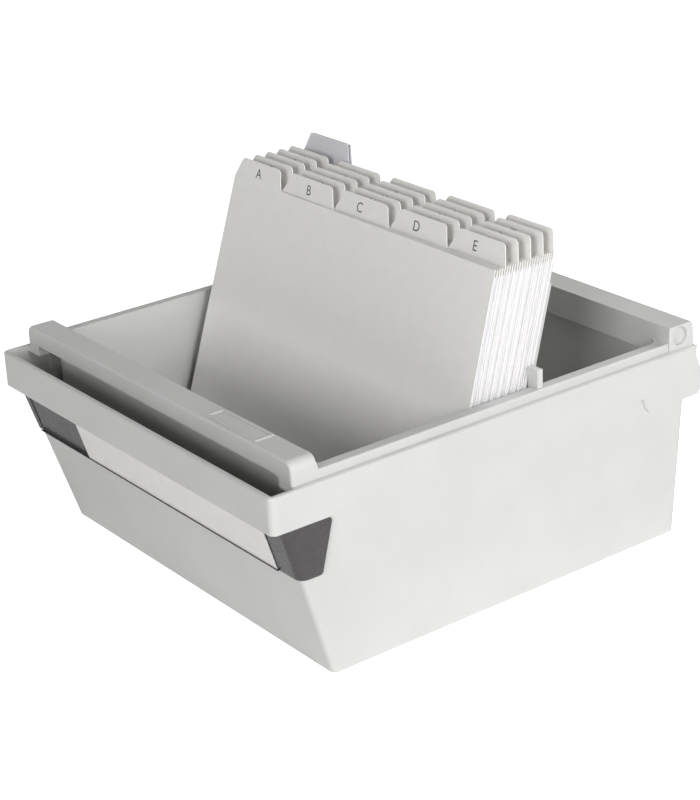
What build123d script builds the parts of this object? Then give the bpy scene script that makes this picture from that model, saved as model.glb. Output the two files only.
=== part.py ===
from build123d import *
from math import cos, radians, sin, tan
import os

# Index card trough for A5 cards laid landscape. Millimetres, +Z up, the front with the label at -Y.
# The origin is the centre of the box's footprint, on the surface that it stands on.

# The cards that the trough is made for, landscape A5
card_width = 210.0
card_height = 148.0

# Overall size of the trough, which is as wide as the cards, their clearance, the rim and the shoulder
card_side_clearance = 4.8
rim_width = 5.6
shoulder_width = 3.4
box_width = card_width + 2 * (card_side_clearance + rim_width + shoulder_width)
box_length = 262.0
wall = 2.2
front = -box_length / 2
rear = box_length / 2

# How far a cutting solid runs past what it cuts
overshoot = 20.0

# Skirt: the outer walls, which narrow towards the base, most of all at the front
base_inset = 5.2
base_width = box_width - 2 * base_inset
base_front_setback = 32.0
base_rear_setback = 13.0
side_draft = 0.045
front_slope = 0.299
rear_slope = 0.042
skirt_corner_radius = 3.0

# Band round the top of the skirt: the lip at the front, the lid's shoulder on top
band_top = 100.5
band_height = 18.3
band_bottom = band_top - band_height
band_corner_radius = 3.4
edge_radius = 0.8
band_edge_radius = 1.3
shoulder_thickness = 3.2

# Raised rim inside the shoulder
rim_height = 4.2
rim_top = band_top + rim_height
rim_half_width = box_width / 2 - shoulder_width

# Card compartment
compartment_half_width = rim_half_width - rim_width
compartment_draft = 0.0105
compartment_corner_radius = 7.0
floor_top = 19.5
floor_thickness = 2.2

# Handle bar behind the grip pocket
bar_top = 112.0
bar_front = 14.1
bar_depth = 13.6
bar_face_height = 9.1
bar_half_length = rim_half_width
bar_foot_width = 9.8
bar_edge_radius = 1.6
bar_rear_edge_radius = 0.6
bar_end_radius = 4.6
finger_opening_radius = 2.6
bar_rear = bar_front + bar_depth
bar_bottom = bar_top - bar_face_height
bar_back_depth = 1.0
bar_back_drop = 3.6
bar_node_margin = 1.6
divide_draft = 0.02

# Bare raised frame on top of the bar
frame_from_bar_end = 29.4
frame_length = 40.0
frame_centre_x = bar_half_length - frame_from_bar_end - frame_length / 2
frame_depth = 10.4
frame_line = 1.4
frame_rise = 0.5

# Ridge along the rear rim, with the lid's hinge sockets in its ends
ridge_top = 113.0
ridge_setback = 20.7
ridge_front = box_length - ridge_setback
ridge_flange_height = 15.4
ridge_end_inset = 2.5
ridge_half_length = box_width / 2 - ridge_end_inset
bulge_height = 84.0
bulge_depth = 4.3
rear_band_drop = 8.0
rear_band_length = 40.5
rear_step_length = 4.4
socket_radius = 4.8
socket_depth = 2.0
socket_from_rear = 13.5
socket_below_top = 5.7

# Label holder round the front of the skirt, and its label
holder_thickness = 1.4
holder_height = 27.4
holder_side_top = 32.6
holder_side_bottom = 26.4
holder_rear_radius = 2.0
holder_top_gap = 0.1
holder_recess = 0.4
holder_frame = 2.4
holder_end_rib = 6.0
rail_height = 1.3
rail_thickness = 0.5
rail_overlap = 0.6
rail_root = 0.3
rail_past_label = 1.0
label_thickness = 0.4
label_width = 162.5
label_right_inset = 13.2
label_right = base_width / 2 - label_right_inset
label_clearance = 0.1

# Pack of cards and dividers, leaning back
lean = 15.3
pack_front = 99.3
pack_offset = 1.4
card_thickness = 0.227
cards_per_section = 4
cards_in_last_row = 3
card_gap = 0.012
section_shuffle = 0.5
card_shuffle = 0.25
divider_body_height = 152.0
divider_thickness = 0.42
section_gap = 0.05
floor_clearance = 0.12
tab_count = 5
first_tab_width = 41.4
tab_pitch = 42.8
tab_height = 10.4
tab_left_slant = 5.5
tab_right_slant = 3.2
tab_corner_radius = 3.0
front_divider_left_lean = 18.7
index_names = list("abcdefghijklmnopqrstuvw") + ["xy", "z"]

# Support plate behind the pack, hung on the side rims by its ears
plate_thickness = 2.0
plate_below_dividers = 2.0
plate_height = divider_body_height - plate_below_dividers
plate_side_clearance = 5.3
plate_half_width = compartment_half_width - plate_side_clearance
plate_rib_depth = 1.2
plate_rib_width = 4.0
plate_middle_rib_spacing = 70.0
plate_corner_radius = 5.0
ear_reach = 4.4
ear_thickness = 3.2
ear_height = 9.2
ear_forward = 2.4
ear_clearance = 0.15
ear_corner_radius = 1.2
arm_drop = 4.0
arm_height = 11.0
arm_side_clearance = 0.2
web_side_clearance = 0.25

# Clear folded tab on the support plate's top edge, with its paper insert
tab_holder_inset = 10.0
tab_holder_left = -plate_half_width + tab_holder_inset
tab_holder_width = 39.0
tab_holder_rise = 19.4
tab_holder_top = plate_height + tab_holder_rise
tab_holder_straight = 9.0
tab_holder_grip = 9.0
tab_sheet = 0.45
tab_holder_slant = 3.4
tab_recess = 0.5
insert_thickness = 0.3
insert_margin = 1.2

lean_sin = sin(radians(lean))
lean_cos = cos(radians(lean))


def at_front(distance):
    """Y of a place that is this far behind the lip."""
    return front + distance


def side_profile(points, half_width):
    """Solid with a section drawn in Y and Z, running across the box."""
    face = make_face(Polyline(*points, close=True))
    return extrude(Plane.YZ * face, amount=half_width, both=True)


def block(x_low, x_high, y_low, y_high, z_low, z_high):
    """Plain box between two corners."""
    size = (x_high - x_low, y_high - y_low, z_high - z_low)
    centre = ((x_low + x_high) / 2, (y_low + y_high) / 2, (z_low + z_high) / 2)
    return Pos(*centre) * Box(*size)


def skirt_front(z, inset=0.0):
    """Distance from the lip to the slanted front wall at a height."""
    return base_front_setback - front_slope * z + inset * (1 + front_slope ** 2) ** 0.5


def skirt_rear(z, inset=0.0):
    """Distance from the lip to the rear wall at a height."""
    return box_length - base_rear_setback + rear_slope * z - inset


def skirt_section(z, inset):
    """Rounded outline of the skirt at a height, taken in by an inset."""
    half_width = base_width / 2 + side_draft * z - inset
    y_low = at_front(skirt_front(z, inset))
    y_high = at_front(skirt_rear(z, inset))
    radius = max(skirt_corner_radius - inset, 0.6)
    outline = RectangleRounded(2 * half_width, y_high - y_low, radius)
    return Pos(0, (y_low + y_high) / 2, z) * outline


def skirt_block(z_low, z_high, inset=0.0):
    """Solid bounded by the skirt's walls between two heights."""
    return loft([skirt_section(z_low, inset), skirt_section(z_high, inset)], ruled=True)


def compartment_section(z, y_rear, growth=0.0):
    """Rounded outline of the card compartment at a height, its front and sides moved out by a growth."""
    half_width = compartment_half_width - compartment_draft * (rim_top - z) + growth
    y_low = at_front(bar_rear + divide_draft * (bar_top - z)) - growth
    outline = RectangleRounded(2 * half_width, y_rear - y_low, compartment_corner_radius + growth)
    return Pos(0, (y_low + y_rear) / 2, z) * outline


def compartment_block(z_low, z_high, rear_low, rear_high, growth=0.0):
    """Space for the cards between two heights."""
    low = compartment_section(z_low, rear_low, growth)
    high = compartment_section(z_high, rear_high, growth)
    return loft([low, high], ruled=True)


def rear_outline(inset):
    """Rear end of the band and ridge, as points in Y and Z from the top down to the lower edge."""
    drop_bottom = band_bottom - rear_band_drop
    waist = rear - bulge_depth
    return [
        (waist - 1.6 - inset, ridge_top - inset),
        (waist - 0.4 - inset, ridge_top - 1.6 - inset),
        (waist + 0.5 - inset, band_top),
        (waist - 0.2 - inset, band_top - 5.0),
        (rear - 0.6 - inset, bulge_height + 2.4),
        (rear - inset, bulge_height - 0.8),
        (rear - 1.2 - inset, drop_bottom + 2.2),
        (rear - 3.0 - inset, drop_bottom),
    ]


def make_band():
    """Band, raised rim and rear ridge as one solid, before they are hollowed."""
    band_rear = rear - bulge_depth - 2.0
    outline = RectangleRounded(box_width, band_rear - front, band_corner_radius)
    band = extrude(Pos(0, (front + band_rear) / 2, band_bottom) * outline, amount=band_height)
    band = fillet(band.faces().sort_by(Axis.Z)[-1].edges(), band_edge_radius)

    outline = RectangleRounded(2 * rim_half_width, at_front(ridge_front + 4) - at_front(bar_front + 4), 2.0)
    rim_centre = (at_front(ridge_front + 4) + at_front(bar_front + 4)) / 2
    rim = extrude(Pos(0, rim_centre, band_bottom + wall) * outline, amount=rim_top - band_bottom - wall)
    rim = fillet(rim.faces().sort_by(Axis.Z)[-1].edges(), edge_radius)

    drop_bottom = band_bottom - rear_band_drop
    step = at_front(box_length - rear_band_length)
    outline = rear_outline(0)
    low = [p for p in outline if p[1] <= band_top]
    low_points = [(step - 8, band_top - band_edge_radius), (step - 8, band_bottom), (step, band_bottom)]
    low_points += [(step + 0.5 * rear_step_length, drop_bottom + 2.6), (step + rear_step_length, drop_bottom)]
    low_points += list(reversed(low))
    rear_band = side_profile(low_points, box_width / 2)

    high = [p for p in outline if p[1] >= band_top - 6]
    ridge_points = high + [(at_front(ridge_front), high[-1][1]), (at_front(ridge_front), ridge_top)]
    ridge = side_profile(ridge_points, ridge_half_length)
    return band + rim + rear_band + ridge


def make_bar():
    """Handle bar and its two feet, before the finger space under it is cut."""
    low = band_top - shoulder_thickness
    bar = block(-bar_half_length, bar_half_length, at_front(bar_front), at_front(bar_rear), low, bar_top)
    ends = bar.edges().filter_by(Axis.Y).group_by(Axis.Z)[-1]
    bar = fillet(ends, bar_end_radius)
    front_edge = bar.edges().filter_by(Axis.X).group_by(Axis.Z)[-1].sort_by(Axis.Y)[0]
    bar = fillet(front_edge, bar_edge_radius)
    rear_edge = bar.edges().filter_by(Axis.X).group_by(Axis.Z)[-1].sort_by(Axis.Y)[-1]
    bar = fillet(rear_edge, bar_rear_edge_radius)
    back = side_profile(
        [
            (at_front(bar_rear) - 1, low),
            (at_front(bar_rear) - 1, bar_top - bar_back_drop),
            (at_front(bar_rear), bar_top - bar_back_drop),
            (at_front(bar_rear + bar_back_depth), rim_top),
            (at_front(bar_rear + bar_back_depth), low),
        ],
        bar_half_length,
    )
    return bar + back


def make_bar_frame():
    """Bare raised frame, a plain border with nothing in it."""
    y_centre = at_front(bar_front + bar_depth / 2 + 0.4)
    outer = Pos(frame_centre_x, y_centre, bar_top - 1) * Box(frame_length, frame_depth, 2 * (1 + frame_rise))
    inner_size = (frame_length - 2 * frame_line, frame_depth - 2 * frame_line, overshoot)
    return outer - Pos(frame_centre_x, y_centre, bar_top) * Box(*inner_size)


def cut_pocket():
    """Grip pocket behind the lip, with the finger space under the handle bar."""
    pocket_top = ridge_top + overshoot
    underside = band_bottom + wall
    divide_face = bar_rear - wall
    upper_half = box_width / 2 - wall
    slot = block(-upper_half, upper_half, at_front(wall), at_front(bar_front), underside, pocket_top)
    ceiling = band_top - shoulder_thickness
    behind = block(-upper_half, upper_half, at_front(wall), at_front(divide_face), underside, ceiling)
    clear_half = bar_half_length - bar_foot_width
    y_low = at_front(bar_front - 1)
    y_high = at_front(divide_face)
    under_bar = block(-clear_half, clear_half, y_low, y_high, underside, bar_bottom)
    under_bar = fillet(under_bar.edges().filter_by(Axis.Y).group_by(Axis.Z)[-1], finger_opening_radius)
    hollow_half = clear_half - 1.0
    y_low = at_front(bar_front + wall)
    bar_hollow = block(-hollow_half, hollow_half, y_low, y_high, underside, bar_top - wall)
    return slot + behind + under_bar + bar_hollow


def cut_rear_channels():
    """Spaces behind the ridge's flange and between the rear wall and its outer skirt."""
    ceiling = ridge_top - wall
    flange_bottom = ridge_top - ridge_flange_height
    wall_inner = skirt_rear(flange_bottom, wall)
    inner_half = compartment_half_width - 2.0
    y_low = at_front(ridge_front + wall)
    inner = block(-inner_half, inner_half, y_low, at_front(wall_inner), flange_bottom - 1, ceiling)
    outline = rear_outline(wall)
    drop_bottom = band_bottom - rear_band_drop
    wall_outer = at_front(skirt_rear(band_bottom))
    low = [p for p in outline if p[1] < band_top] + [(outline[-1][0], drop_bottom - 5)]
    low_points = [(wall_outer + 0.1, drop_bottom - 5), (wall_outer + 0.9, band_top - wall)]
    low_points += [(outline[2][0], band_top - wall)] + low
    outer_low = side_profile(low_points, box_width / 2 - wall)
    high = [p for p in outline if p[1] > band_top]
    high_points = [(wall_outer + 0.9, band_top - wall - 1), (wall_outer + 0.9, ceiling)]
    high_points += [(high[0][0], ceiling)] + high[1:] + [(outline[2][0], band_top - wall - 1)]
    outer_high = side_profile(high_points, ridge_half_length - wall - 1)
    return inner + outer_low + outer_high


def cut_side_spaces():
    """Space between the compartment and the skirt at the front and the sides, open downwards."""
    low = floor_top - floor_thickness - 1
    high = band_top - shoulder_thickness
    y_high = at_front(skirt_rear(0, 3 * wall))
    inside = skirt_block(low, high, wall) & block(-box_width, box_width, front, y_high, low, high)
    return inside - compartment_block(low - 1, high + 1, rear + overshoot, rear + overshoot, wall)


def cut_sockets():
    """Round blind sockets for an optional lid's hinge, in the ends of the ridge."""
    place = (at_front(box_length - socket_from_rear), ridge_top - socket_below_top)
    depth = ridge_half_length - socket_depth
    right = extrude(Plane.YZ.offset(depth) * Pos(*place) * Circle(socket_radius), amount=overshoot)
    return right + mirror(right, about=Plane.YZ)


def make_moulding():
    """The whole moulding: skirt, band, rim, ridge, handle bar and compartment."""
    flange_bottom = ridge_top - ridge_flange_height
    solid = skirt_block(0, band_bottom + wall) + make_band() + make_bar()
    floor_rear = at_front(skirt_rear(floor_top, wall))
    flange_rear = at_front(skirt_rear(flange_bottom, wall))
    compartment = compartment_block(floor_top, flange_bottom, floor_rear, flange_rear)
    mouth_rear = at_front(ridge_front)
    mouth = compartment_block(flange_bottom - 1, ridge_top + overshoot, mouth_rear, mouth_rear)
    underside = skirt_block(-1, floor_top - floor_thickness, wall)
    solid = solid - compartment - mouth - underside
    solid = solid - cut_pocket() - cut_rear_channels() - cut_side_spaces() - cut_sockets()
    return solid + make_bar_frame()


def bar_node_block():
    """Space that holds the handle bar with its feet, as far down as they reach."""
    y_high = at_front(bar_rear) + bar_node_margin
    low = band_top - shoulder_thickness
    return block(-bar_half_length, bar_half_length, at_front(bar_front), y_high, low, ridge_top + overshoot)


def holder_outline():
    """Side view of the label holder: level top and bottom, slanted rear end with rounded corners."""
    top = band_bottom - holder_top_gap
    bottom = band_bottom - holder_height
    outline = Polyline(
        (at_front(-overshoot), top),
        (at_front(holder_side_top), top),
        (at_front(holder_side_bottom), bottom),
        (at_front(-overshoot), bottom),
        close=True,
    )
    face = make_face(outline)
    face = fillet(face.vertices().sort_by(Axis.X)[-2:], holder_rear_radius)
    return extrude(Plane.YZ * face, amount=box_width, both=True)


def front_wall_plane(out):
    """Plane parallel to the slanted front wall, local Y running up the slope."""
    slope_length = (1 + front_slope ** 2) ** 0.5
    z = band_bottom - holder_height
    origin = (0, at_front(skirt_front(z)), z)
    normal = (0, -1 / slope_length, -front_slope / slope_length)
    return Plane(origin=origin, x_dir=(1, 0, 0), z_dir=normal).offset(out)


def slope_height():
    """Holder's height measured up the slanted wall."""
    return (holder_height - holder_top_gap) * (1 + front_slope ** 2) ** 0.5


def front_strip(out, thickness, x_low, x_high, up_low, up_high):
    """Strip parallel to the slanted front wall, between two places across it and two up its slope."""
    size = (x_high - x_low, up_high - up_low)
    face = Pos((x_low + x_high) / 2, (up_low + up_high) / 2) * Rectangle(*size)
    return extrude(front_wall_plane(out) * face, amount=thickness)


def make_label_holder():
    """Tinted strip round the front corners, with a shallow recess and two lips that keep the label."""
    low = band_bottom - holder_height - 2
    shell = skirt_block(low, band_bottom + 2, -holder_thickness) - skirt_block(low - 1, band_bottom + 3)
    holder = shell & holder_outline()
    half = base_width / 2 + side_draft * low
    rib_inner = -half + holder_end_rib
    label_end = label_right + rail_past_label
    up = slope_height()
    holder -= front_strip(
        holder_thickness - holder_recess, overshoot, rib_inner, label_end, holder_frame, up - holder_frame
    )
    stand_height = rail_height - rail_overlap
    stand_depth = label_thickness + 2 * label_clearance + rail_thickness
    lip_out = holder_thickness + stand_depth - rail_thickness
    stand_out = holder_thickness - rail_root
    for stand_low, lip_low in ((0.0, 0.0), (up - stand_height, up - rail_height)):
        stand_high = stand_low + stand_height
        holder += front_strip(stand_out, stand_depth + rail_root, rib_inner, label_end, stand_low, stand_high)
        holder += front_strip(lip_out, rail_thickness, rib_inner, label_end, lip_low, lip_low + rail_height)
    return holder & holder_outline()


def make_label_card():
    """Plain paper label held between the two lips."""
    low = rail_height - rail_overlap + label_clearance
    high = slope_height() - low
    left = label_right - label_width
    return front_strip(holder_thickness + label_clearance, label_thickness, left, label_right, low, high)


def lean_plane(distance):
    """Front face of a leaning sheet: this far behind the pack's front, local Y running up the sheet."""
    y = at_front(pack_front) + distance / lean_cos
    origin = (pack_offset, y, floor_top + floor_clearance)
    return Plane(origin=origin, x_dir=(1, 0, 0), z_dir=(0, -lean_cos, lean_sin))


def leaning_sheet(face, distance, thickness):
    """Sheet of a thickness whose front face lies this far behind the pack's front."""
    foot = thickness * lean_sin
    return extrude(lean_plane(distance) * Pos(0, foot * lean_cos) * face, amount=-thickness)


def card_count(index):
    """Number of cards filed behind a divider: fewer behind those of the last row."""
    last_row = len(index_names) - tab_count
    return cards_per_section if index < last_row else cards_in_last_row


def section_start(index):
    """Distance from the pack's front to the front of a section, square to the cards."""
    distance = 0.0
    for before in range(index):
        distance += divider_thickness + card_count(before) * (card_thickness + card_gap) + 2 * section_gap
    return distance


def tab_face(tab_index):
    """Outline of a tab at one of the places across the top of a divider."""
    half = card_width / 2
    left = -half if tab_index == 0 else -half + first_tab_width + (tab_index - 1) * tab_pitch
    right = half if tab_index == tab_count - 1 else -half + first_tab_width + tab_index * tab_pitch
    top = divider_body_height + tab_height
    tab = make_face(
        Polyline(
            (left, divider_body_height - 1),
            (left, divider_body_height),
            (left + tab_left_slant, top),
            (right - tab_right_slant, top),
            (right, divider_body_height),
            (right, divider_body_height - 1),
            close=True,
        )
    )
    return fillet(tab.vertices().group_by(Axis.Y)[-1], tab_corner_radius)


def make_divider(index):
    """One index divider, with its tab."""
    body = Pos(0, divider_body_height / 2) * Rectangle(card_width, divider_body_height)
    outline = body + tab_face(index % tab_count)
    return leaning_sheet(outline, section_start(index), divider_thickness)


def sheet_edge_section(x, lean_here):
    """End section of the front divider at one of its sides, hung from its upper edge."""
    lift = divider_body_height + divider_thickness * lean_sin * lean_cos
    y_top = at_front(pack_front) + lift * lean_sin
    z_top = floor_top + floor_clearance + lift * lean_cos
    here_sin = sin(radians(lean_here))
    here_cos = cos(radians(lean_here))
    y_low = y_top - divider_body_height * here_sin
    z_low = z_top - divider_body_height * here_cos
    through_y = divider_thickness * lean_cos
    through_z = -divider_thickness * lean_sin
    return make_face(
        Polyline(
            (x, y_top, z_top),
            (x, y_low, z_low),
            (x, y_low + through_y, z_low + through_z),
            (x, y_top + through_y, z_top + through_z),
            close=True,
        )
    )


def make_front_divider():
    """The first divider, whose lower left corner stands forward of the pack."""
    left = sheet_edge_section(pack_offset - card_width / 2, front_divider_left_lean)
    right = sheet_edge_section(pack_offset + card_width / 2, lean)
    body = loft([left, right], ruled=True)
    return body + leaning_sheet(tab_face(0), 0, divider_thickness)


def make_cards(index):
    """The cards filed behind one divider, each knocked a little out of line."""
    cards = []
    start = section_start(index) + divider_thickness + section_gap
    for number in range(card_count(index)):
        place = index * cards_per_section + number
        across = section_shuffle * sin(2.3 * index + 1) + card_shuffle * sin(2.1 * place)
        up = 0.5 + 0.5 * sin(1.7 * place + 0.6)
        face = Pos(across, card_height / 2 + up) * Rectangle(card_width, card_height)
        distance = start + number * (card_thickness + card_gap)
        cards.append(leaning_sheet(face, distance, card_thickness))
    return Compound(children=cards)


def plate_distance():
    """Distance from the pack's front to the support plate, square to the cards."""
    return section_start(len(index_names)) + section_gap


def plate_front(z):
    """Y of the support plate's front face at a height."""
    above_foot = z - floor_top - floor_clearance
    return at_front(pack_front) + plate_distance() / lean_cos + above_foot * tan(radians(lean))


def make_ear():
    """Right ear before it is fitted to the plate: a lug over the side rim, with a web down to the arm."""
    y_front = plate_front(rim_top) - ear_forward
    inner = pack_offset + card_width / 2 + section_shuffle + card_shuffle + web_side_clearance
    outer = compartment_half_width + ear_reach
    foot = rim_top + ear_clearance
    web_outer = compartment_half_width - arm_side_clearance
    lug = block(inner, outer, y_front, y_front + ear_thickness, foot, foot + ear_height)
    corner = lug.edges().filter_by(Axis.Y).group_by(Axis.Z)[-1].sort_by(Axis.X)[-1]
    lug = fillet(corner, ear_corner_radius)
    web_rear = y_front + ear_forward + 0.6 * ear_thickness
    return lug + block(inner, web_outer, y_front, web_rear, foot - arm_drop, foot + 0.5 * arm_height)


def make_support_plate():
    """Plate that holds the pack up, with an arm towards each side rim and ribs on its back."""
    foot = (plate_thickness + plate_rib_depth) * lean_sin
    shift = -pack_offset
    panel = Pos(shift, plate_height / 2) * Rectangle(2 * plate_half_width, plate_height)
    panel = fillet(panel.vertices().group_by(Axis.Y)[-1], plate_corner_radius)
    arm_low = (rim_top + ear_clearance - arm_drop - floor_top - floor_clearance) / lean_cos
    arm_half = compartment_half_width - arm_side_clearance
    arms = Pos(shift, arm_low + arm_height / 2) * Rectangle(2 * arm_half, arm_height)
    plane = lean_plane(plate_distance())
    lift = Pos(0, foot)
    panel_solid = extrude(plane * lift * panel, amount=-plate_thickness)
    arm_thickness = plate_thickness + plate_rib_depth
    arm_solid = extrude(plane * lift * arms, amount=-arm_thickness)
    rib_plane = lean_plane(plate_distance() + plate_thickness)
    rib_top = plate_height - tab_holder_grip - 6
    ribs = []
    outer_rib = plate_half_width - plate_rib_width / 2
    middle_rib = plate_middle_rib_spacing / 2
    for x in (-outer_rib, -middle_rib, middle_rib, outer_rib):
        face = Pos(shift + x, rib_top / 2) * Rectangle(plate_rib_width, rib_top)
        ribs.append(extrude(rib_plane * lift * face, amount=-plate_rib_depth))
    for up in (plate_rib_width / 2, rib_top - plate_rib_width / 2):
        face = Pos(shift, up) * Rectangle(2 * plate_half_width, plate_rib_width)
        ribs.append(extrude(rib_plane * lift * face, amount=-plate_rib_depth))
    recess_width = tab_holder_width + 1.0
    recess_x = tab_holder_left + tab_holder_width / 2 - pack_offset
    recess_up = foot + plate_height - tab_holder_grip / 2
    recess = Pos(recess_x, recess_up) * Rectangle(recess_width, tab_holder_grip + 1)
    recess_solid = extrude(plane * recess, amount=-tab_recess)
    plate = panel_solid + arm_solid
    for rib in ribs:
        plate += rib
    return plate - recess_solid


def tab_holder_face(low, high):
    """Outline of the clear tab between two heights up the plate, drawn in at its sides near the top."""
    left = tab_holder_left - pack_offset
    right = left + tab_holder_width
    shoulder = high - tab_holder_straight
    points = [(left, low), (left, shoulder), (left + tab_holder_slant, high)]
    points += [(right - tab_holder_slant, high), (right, shoulder), (right, low)]
    return make_face(Polyline(*points, close=True))


def make_tab_holder():
    """Clear sheet folded over the plate's top edge."""
    foot = (plate_thickness + plate_rib_depth) * lean_sin
    low = foot + plate_height - tab_holder_grip + 0.6
    front_out = plate_distance() + tab_recess - tab_sheet
    rear_out = plate_distance() + plate_thickness + 0.04 + tab_sheet
    depth = rear_out - front_out
    outer = extrude(lean_plane(front_out) * tab_holder_face(low, tab_holder_top), amount=-depth)
    inner_low = foot + plate_height - tab_holder_grip - 5
    inner_face = make_face(
        Polyline(
            (-card_width, inner_low),
            (-card_width, tab_holder_top - tab_sheet),
            (card_width, tab_holder_top - tab_sheet),
            (card_width, inner_low),
            close=True,
        )
    )
    inner_plane = lean_plane(front_out + tab_sheet - 0.04)
    inner = extrude(inner_plane * inner_face, amount=-(depth - 2 * tab_sheet + 0.04))
    return outer - inner


def make_tab_insert():
    """Paper strip inside the clear tab, above the plate's edge."""
    foot = (plate_thickness + plate_rib_depth) * lean_sin
    low = foot + plate_height + 0.3
    high = tab_holder_top - tab_sheet - 0.3
    left = tab_holder_left - pack_offset + tab_holder_slant + insert_margin
    right = left + tab_holder_width - 2 * tab_holder_slant - 2 * insert_margin
    face = make_face(Polyline((left, low), (left, high), (right, high), (right, low), close=True))
    distance = plate_distance() + tab_recess + 0.3
    return extrude(lean_plane(distance) * face, amount=-insert_thickness)


def save(shape, name):
    """Write one node."""
    shape.label = name
    export_step(shape, f"parts/{name}.step")


os.makedirs("parts", exist_ok=True)
moulding = make_moulding()
save(moulding - bar_node_block(), "trough")
save(moulding & bar_node_block(), "grip_bar")
save(make_label_holder(), "label_holder")
save(make_label_card(), "label_card")
support_plate = make_support_plate()
save(support_plate, "support_plate")
save(make_ear() - support_plate, "plate_ear_right")
save(mirror(make_ear(), about=Plane.YZ) - support_plate, "plate_ear_left")
save(make_tab_holder(), "tab_holder")
save(make_tab_insert(), "tab_insert")
for number, index_name in enumerate(index_names):
    divider = make_front_divider() if number == 0 else make_divider(number)
    save(divider, f"divider_{index_name}")
    save(make_cards(number), f"cards_{index_name}")
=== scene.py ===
import math

import bpy
from mathutils import Matrix, Vector


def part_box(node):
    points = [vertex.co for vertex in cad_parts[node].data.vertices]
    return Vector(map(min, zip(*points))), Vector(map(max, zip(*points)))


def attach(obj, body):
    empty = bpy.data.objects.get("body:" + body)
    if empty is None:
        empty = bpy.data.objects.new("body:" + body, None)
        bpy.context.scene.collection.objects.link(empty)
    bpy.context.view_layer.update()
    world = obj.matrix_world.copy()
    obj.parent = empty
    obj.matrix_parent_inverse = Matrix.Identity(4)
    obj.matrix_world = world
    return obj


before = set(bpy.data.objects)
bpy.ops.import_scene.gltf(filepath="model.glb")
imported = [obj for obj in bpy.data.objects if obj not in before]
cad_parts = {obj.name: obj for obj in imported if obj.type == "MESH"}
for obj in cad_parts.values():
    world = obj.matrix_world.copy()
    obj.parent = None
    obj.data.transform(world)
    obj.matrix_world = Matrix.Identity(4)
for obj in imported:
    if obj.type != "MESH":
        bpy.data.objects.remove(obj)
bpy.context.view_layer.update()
print("card trough loaded:", len(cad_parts), "nodes")

millimetre = 0.001
tabOrder = list("abcdefghijklmnopqrstuvw") + ["xy", "z"]


# colours are written as sRGB hex and turned to linear here
def linearColour(hexText):
    parts = [int(hexText[i:i + 2], 16) / 255 for i in (1, 3, 5)]
    return [c / 12.92 if c <= 0.04045 else ((c + 0.055) / 1.055) ** 2.4 for c in parts] + [1.0]


def connect(tree, node, links):
    for socket, source in links.items():
        tree.links.new(source, node.inputs[socket])


# one node with its settings and links: a setting is an attribute or, with a socket's name, a value
def addNode(tree, kind, settings=None, links=None):
    node = tree.nodes.new(kind)
    for key, value in (settings or {}).items():
        if isinstance(key, int) or key in node.inputs:
            node.inputs[key].default_value = value
        else:
            setattr(node, key, value)
    connect(tree, node, links or {})
    return node


def twoTones(tree, fac, low, high, start=0.35, end=0.65):
    ramp = addNode(tree, "ShaderNodeValToRGB", {}, {"Fac": fac})
    ramp.color_ramp.elements[0].position = start
    ramp.color_ramp.elements[1].position = end
    ramp.color_ramp.elements[0].color = linearColour(low)
    ramp.color_ramp.elements[1].color = linearColour(high)
    return ramp.outputs["Color"]


def noiseAt(tree, place, sizeInMm, detail):
    settings = {"Scale": 1 / (sizeInMm * millimetre), "Detail": detail}
    return addNode(tree, "ShaderNodeTexNoise", settings, {"Vector": place}).outputs["Fac"]


# noise stays near its middle, so its inner part is spread over the whole range of roughness
def roughnessFrom(tree, noise, lowest, highest):
    settings = {"From Min": 0.3, "From Max": 0.7, "To Min": lowest, "To Max": highest}
    return addNode(tree, "ShaderNodeMapRange", settings, {"Value": noise}).outputs["Result"]


def bumpFrom(tree, noise, strength, depthInMm):
    settings = {"Strength": strength, "Distance": depthInMm * millimetre}
    return addNode(tree, "ShaderNodeBump", settings, {"Height": noise}).outputs["Normal"]


def startMaterial(name, shaderSettings):
    material = bpy.data.materials.new(name)
    material.use_nodes = True
    tree = material.node_tree
    tree.nodes.clear()
    shader = addNode(tree, "ShaderNodeBsdfPrincipled", shaderSettings)
    addNode(tree, "ShaderNodeOutputMaterial", {}, {"Surface": shader.outputs["BSDF"]})
    coordinates = addNode(tree, "ShaderNodeTexCoord")
    return material, tree, shader, coordinates.outputs["Object"]


# high-impact polystyrene, injection moulded in a spark-eroded mould: an even light grey with a soft sheen,
# faint cloudy flow marks some centimetres wide, and a fine grain that breaks up the highlight
polystyrene = {
    "low": "#CBCBC9",
    "high": "#CFCFCE",
    "flowMark": 38.0,
    "grain": 0.55,  # the real grain is near 0.1 mm, drawn coarser so that it shows
    "grainDepth": 0.012,
    "grainStrength": 0.5,
    "roughnessLow": 0.42,
    "roughnessHigh": 0.52,
}


def mouldedPolystyrene(name, look):
    material, tree, shader, place = startMaterial(name, {"IOR": 1.59, "Specular IOR Level": 0.45})
    flow = noiseAt(tree, place, look["flowMark"], 3.0)
    grain = noiseAt(tree, place, look["grain"], 2.0)
    colour = twoTones(tree, flow, look["low"], look["high"])
    rough = roughnessFrom(tree, grain, look["roughnessLow"], look["roughnessHigh"])
    bump = bumpFrom(tree, grain, look["grainStrength"], look["grainDepth"])
    connect(tree, shader, {"Base Color": colour, "Roughness": rough, "Normal": bump})
    return material


# smoke-tinted styrene acrylonitrile strip: a dark warm grey with a glossy face, a little cloudy where it
# lies on the moulding, with faint rubbed marks in the gloss
smokedStrip = {
    "low": "#434143",
    "high": "#4A4749",
    "cloud": 26.0,
    "rub": 3.5,
    "rubDepth": 0.01,
    "rubStrength": 0.1,
    "roughnessLow": 0.24,
    "roughnessHigh": 0.32,
}


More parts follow.
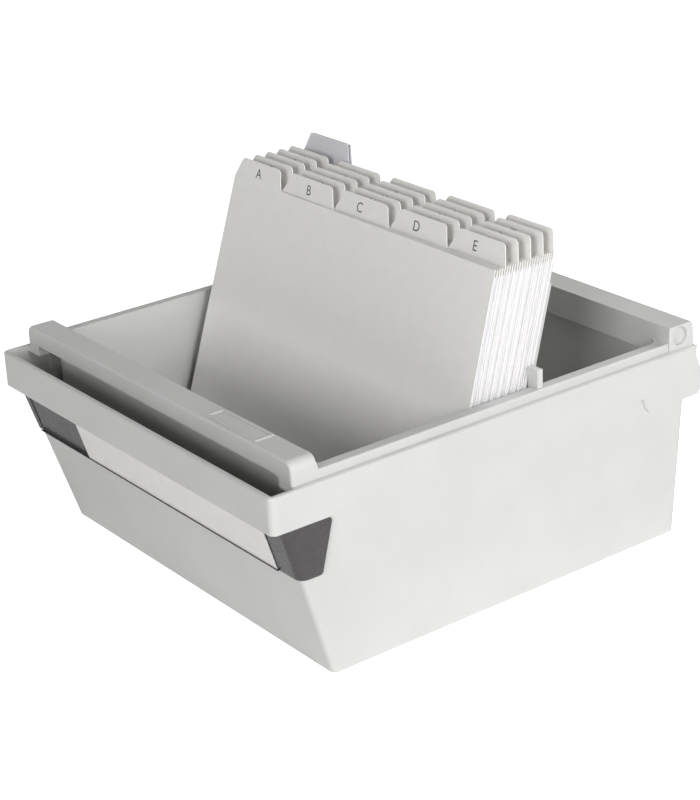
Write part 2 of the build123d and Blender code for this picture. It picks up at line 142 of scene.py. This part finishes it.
def smokedPlastic(name, look):
    gloss = {"IOR": 1.57, "Specular IOR Level": 0.4, "Coat Weight": 0.15, "Coat Roughness": 0.15}
    material, tree, shader, place = startMaterial(name, gloss)
    cloud = noiseAt(tree, place, look["cloud"], 2.0)
    rub = noiseAt(tree, place, look["rub"], 2.0)
    colour = twoTones(tree, cloud, look["low"], look["high"])
    rough = roughnessFrom(tree, rub, look["roughnessLow"], look["roughnessHigh"])
    bump = bumpFrom(tree, rub, look["rubStrength"], look["rubDepth"])
    connect(tree, shader, {"Base Color": colour, "Roughness": rough, "Normal": bump})
    return material


# paper and board, calendered on a paper machine: no gloss, a faint cloudy formation and fine fibres
indexBoard = {"low": "#F6F5F2", "high": "#F8F7F4", "cloud": 6.0, "fibre": 0.5, "rough": 0.62}
whiteCard = {"low": "#E6E5E7", "high": "#EAE9EB", "cloud": 5.0, "fibre": 0.4, "rough": 0.75}
labelPaper = {"low": "#E5E2E0", "high": "#E9E6E4", "cloud": 7.0, "fibre": 0.45, "rough": 0.7}
insertPaper = {"low": "#ECEBEE", "high": "#F0EFF2", "cloud": 4.0, "fibre": 0.4, "rough": 0.7}
fibreLook = {
    "stretch": (0.35, 1.0, 1.0),  # fibres lie mostly along the sheet's width
    "depth": 0.01,
    "strength": 0.25,
    "roughnessSpread": 0.05,
}


def paperStock(name, look):
    material, tree, shader, place = startMaterial(name, {"IOR": 1.5, "Specular IOR Level": 0.25})
    cloud = noiseAt(tree, place, look["cloud"], 3.0)
    drawnOut = addNode(tree, "ShaderNodeMapping", {"Scale": fibreLook["stretch"]}, {"Vector": place})
    fibre = noiseAt(tree, drawnOut.outputs["Vector"], look["fibre"], 3.0)
    colour = twoTones(tree, cloud, look["low"], look["high"])
    spread = fibreLook["roughnessSpread"]
    rough = roughnessFrom(tree, fibre, look["rough"] - spread, look["rough"] + spread)
    bump = bumpFrom(tree, fibre, fibreLook["strength"], fibreLook["depth"])
    connect(tree, shader, {"Base Color": colour, "Roughness": rough, "Normal": bump})
    return material


# rigid clear PVC film, calendered and folded: milky and a little see-through with a cool tint, glossy, a
# little wavy
clearFilm = {"low": "#EFEEF4", "high": "#F6F5FA", "wave": 14.0, "waveDepth": 0.15, "waveStrength": 0.2}


def clearFoil(name, look):
    gloss = {"IOR": 1.53, "Roughness": 0.08, "Transmission Weight": 0.2, "Specular IOR Level": 0.5}
    material, tree, shader, place = startMaterial(name, gloss)
    wave = noiseAt(tree, place, look["wave"], 1.0)
    colour = twoTones(tree, wave, look["low"], look["high"])
    bump = bumpFrom(tree, wave, look["waveStrength"], look["waveDepth"])
    connect(tree, shader, {"Base Color": colour, "Normal": bump})
    return material


# offset printing ink on board: a flat dark grey, a little broken up by the board under it
printInk = {"low": "#5A5957", "high": "#686764", "speck": 0.3}


def printedInk(name, look):
    matt = {"IOR": 1.5, "Specular IOR Level": 0.2, "Roughness": 0.7}
    material, tree, shader, place = startMaterial(name, matt)
    speck = noiseAt(tree, place, look["speck"], 2.0)
    colour = twoTones(tree, speck, look["low"], look["high"])
    connect(tree, shader, {"Base Color": colour})
    return material


def dress(node, material):
    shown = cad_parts[node]
    shown.data.materials.clear()
    shown.data.materials.append(material)


moulding = mouldedPolystyrene("moulded_polystyrene_light_grey", polystyrene)
board = paperStock("calendered_index_board", indexBoard)
card = paperStock("calendered_white_card", whiteCard)
ink = printedInk("offset_printing_ink", printInk)
for part in ("trough", "grip_bar", "support_plate", "plate_ear_right", "plate_ear_left"):
    dress(part, moulding)
dress("label_holder", smokedPlastic("smoked_acrylonitrile_strip", smokedStrip))
dress("label_card", paperStock("uncoated_label_paper", labelPaper))
dress("tab_holder", clearFoil("calendered_clear_pvc", clearFilm))
dress("tab_insert", paperStock("bond_paper_strip", insertPaper))
for tab in tabOrder:
    dress(f"divider_{tab}", board)
    dress(f"cards_{tab}", card)
print("materials on", len(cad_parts), "nodes")


# the printed letters on the tabs
tabLetter = {
    "capHeight": 5.0,
    "narrow": 0.94,
    "shifts": (0.0, 0.0, -2.5, -2.5, -2.5),  # the letters aren't all printed in the middle of their tabs
    "baseBelowTop": 8.2,
    "boardThickness": 0.42,
    "lean": 15.3,
    "packOffset": 1.4,
    "firstTabWidth": 41.4,
    "tabPitch": 42.8,
    "cardWidth": 210.0,
    "tabsInRow": 5,
    "inkDepth": 0.03,
    "fontThickness": 0.04,  # how thick the letter is made before it is scaled down to the ink's depth
}


def tabCentre(place):
    look = tabLetter
    left = 0.0 if place == 0 else look["firstTabWidth"] + (place - 1) * look["tabPitch"]
    last = place == look["tabsInRow"] - 1
    right = look["cardWidth"] if last else look["firstTabWidth"] + place * look["tabPitch"]
    return (left + right) / 2 - look["cardWidth"] / 2 + look["packOffset"] + look["shifts"][place]


def printLetter(tab, number):
    look = tabLetter
    lean = math.radians(look["lean"])
    upSheet = Vector((0, math.sin(lean), math.cos(lean)))
    outOfSheet = Vector((0, -math.cos(lean), math.sin(lean)))
    bpy.ops.object.select_all(action="DESELECT")
    bpy.ops.object.text_add(location=(0, 0, 0))
    letter = bpy.context.object
    letter.name = f"letter_{tab}"
    letter.data.body = tab.upper()
    letter.data.align_x = "CENTER"
    letter.data.resolution_u = 6
    letter.data.extrude = look["fontThickness"] / 2
    bpy.ops.object.convert(target="MESH")
    letter = bpy.context.object
    across = [vertex.co.x for vertex in letter.data.vertices]
    upright = [vertex.co.y for vertex in letter.data.vertices]
    middle = (max(across) + min(across)) / 2
    bottom = min(upright)
    size = look["capHeight"] * millimetre / (max(upright) - bottom)
    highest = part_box(f"divider_{tab}")[1]
    topEdge = Vector((0, highest.y - look["boardThickness"] * millimetre * math.cos(lean), highest.z))
    base = topEdge - upSheet * look["baseBelowTop"] * millimetre
    base += outOfSheet * look["inkDepth"] / 2 * millimetre
    base.x = tabCentre(number % look["tabsInRow"]) * millimetre
    turn = Matrix.Rotation(math.pi / 2 - lean, 4, "X")
    depth = look["inkDepth"] * millimetre / look["fontThickness"]
    shrink = Matrix.Diagonal((size * look["narrow"], size, depth, 1))
    toOrigin = Matrix.Translation((-middle, -bottom, 0))
    letter.matrix_world = Matrix.Translation(base) @ turn @ shrink @ toOrigin
    bpy.ops.object.transform_apply(location=True, rotation=True, scale=True)
    letter.data.materials.clear()
    letter.data.materials.append(ink)
    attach(letter, f"section_{tab}")


for number, tab in enumerate(tabOrder):
    printLetter(tab, number)
print("letters printed:", len(tabOrder))


# plain studio: a pale floor that looks white, a large soft light at the right, one in front whose light the
# bar keeps from the foot of the cards, and a weak one behind
studio = {
    "floorSize": 8.0,
    "floorLow": "#F2F2F2",
    "floorHigh": "#F6F6F6",
    "floorGrain": 16.67,
    "worldLevel": 0.03,
    "floorGlow": 0.2,
    "rightLight": {"place": (2.4, 0.1, 1.1), "size": 1.5, "power": 46.0},
    "frontLight": {"place": (1.3, -2.4, 1.0), "size": 1.1, "power": 36.5},
    "rearLight": {"place": (0.1, 0.7, 0.6), "size": 0.5, "power": 2.5},
    "aim": (0, 0, 0.06),
}


def addSoftLight(name, look, aim):
    bpy.ops.object.select_all(action="DESELECT")
    bpy.ops.object.light_add(type="AREA", location=look["place"])
    light = bpy.context.object
    light.name = name
    light.data.size = look["size"]
    light.data.energy = look["power"]
    light.rotation_euler = (Vector(look["place"]) - Vector(aim)).to_track_quat("Z", "Y").to_euler()


def buildStudio(look):
    bpy.ops.object.select_all(action="DESELECT")
    bpy.ops.mesh.primitive_plane_add(size=look["floorSize"], location=(0, 0, 0))
    floor = bpy.context.object
    floor.name = "floor"
    matt = {"Roughness": 0.9, "Specular IOR Level": 0.0}
    material, tree, shader, place = startMaterial("matt_backdrop_paper", matt)
    fibre = noiseAt(tree, place, look["floorGrain"], 2.0)
    colour = twoTones(tree, fibre, look["floorLow"], look["floorHigh"])
    rays = addNode(tree, "ShaderNodeLightPath")
    shader.inputs["Emission Color"].default_value = (1, 1, 1, 1)
    glow = addNode(tree, "ShaderNodeMapRange", {"To Min": look["floorGlow"], "To Max": 1.0},
                   {"Value": rays.outputs["Is Camera Ray"]})
    connect(tree, shader, {"Base Color": colour, "Emission Strength": glow.outputs["Result"]})
    floor.data.materials.append(material)
    for side in ("right", "front", "rear"):
        addSoftLight(f"{side}_softbox", look[f"{side}Light"], look["aim"])


# the world lights the scene a little, and is white where the camera or a reflection looks at it
def buildWorld(look):
    world = bpy.data.worlds.new("studio")
    bpy.context.scene.world = world
    world.use_nodes = True
    tree = world.node_tree
    tree.nodes.clear()
    rays = addNode(tree, "ShaderNodeLightPath")
    seen = addNode(tree, "ShaderNodeMath", {"operation": "MAXIMUM"},
                   {0: rays.outputs["Is Camera Ray"], 1: rays.outputs["Is Glossy Ray"]})
    seen = addNode(tree, "ShaderNodeMath", {"operation": "MAXIMUM"},
                   {0: seen.outputs["Value"], 1: rays.outputs["Is Transmission Ray"]})
    level = addNode(tree, "ShaderNodeMapRange", {"To Min": look["worldLevel"], "To Max": 1.0},
                    {"Value": seen.outputs["Value"]})
    background = addNode(tree, "ShaderNodeBackground", {"Color": (1, 1, 1, 1)},
                         {"Strength": level.outputs["Result"]})
    addNode(tree, "ShaderNodeOutputWorld", {}, {"Surface": background.outputs["Background"]})


# where the photograph was taken from, fitted to the trough's corners
photoCamera = {
    "place": (0.81387, -0.59232, 0.49915),
    "turn": 0.94124,
    "tilt": 0.40175,
    "roll": -0.05041,
    "lens": 97.05,
}


def placeCamera(look):
    bpy.ops.object.select_all(action="DESELECT")
    bpy.ops.object.camera_add(location=look["place"])
    camera = bpy.context.object
    camera.name = "photo_camera"
    turn = Matrix.Rotation(look["turn"], 4, "Z")
    tilt = Matrix.Rotation(math.pi / 2 - look["tilt"], 4, "X")
    roll = Matrix.Rotation(look["roll"], 4, "Z")
    camera.rotation_euler = (turn @ tilt @ roll).to_euler()
    camera.data.sensor_fit = "VERTICAL"
    camera.data.sensor_height = 36.0
    camera.data.lens = look["lens"]
    camera.data.clip_start = 0.01
    bpy.context.scene.camera = camera


buildStudio(studio)
buildWorld(studio)
placeCamera(photoCamera)
bpy.context.scene.view_settings.view_transform = "Standard"
print("studio and camera placed")
